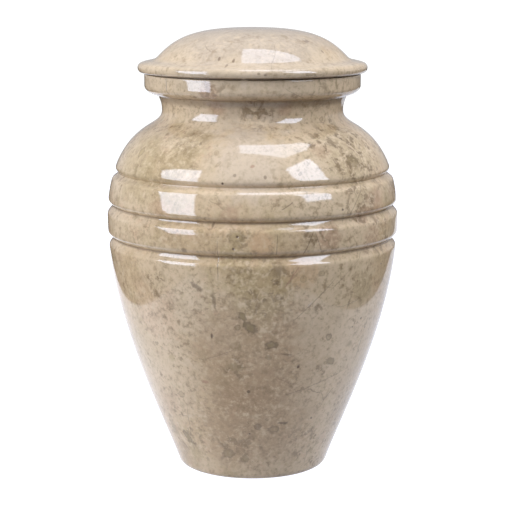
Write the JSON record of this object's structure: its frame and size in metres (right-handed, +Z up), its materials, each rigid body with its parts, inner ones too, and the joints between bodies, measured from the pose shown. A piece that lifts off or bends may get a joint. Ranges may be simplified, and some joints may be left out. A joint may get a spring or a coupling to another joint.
{
  "type": "cremation urn",
  "caption": "Polished beige stone cremation urn: hollow turned vessel with grooved belly, narrow neck and collar, and a low domed lid that lifts off.",
  "frame": {"origin": "middle of the flat underside, on the turning axis", "axes": "+Z up along the turning axis, from the base to the crown of the lid; the urn is the same all round, so +X and +Y are free"},
  "size_m": [0.178, 0.178, 0.27],
  "materials": {
    "polished_stone": "beige fossil limestone, polished to a mirror gloss, with small brown-grey fossils, fine veins and pits"
  },
  "bodies": {
    "root": {"urn_body": "polished_stone", "lid": "polished_stone"}
  },
  "joints": []
}
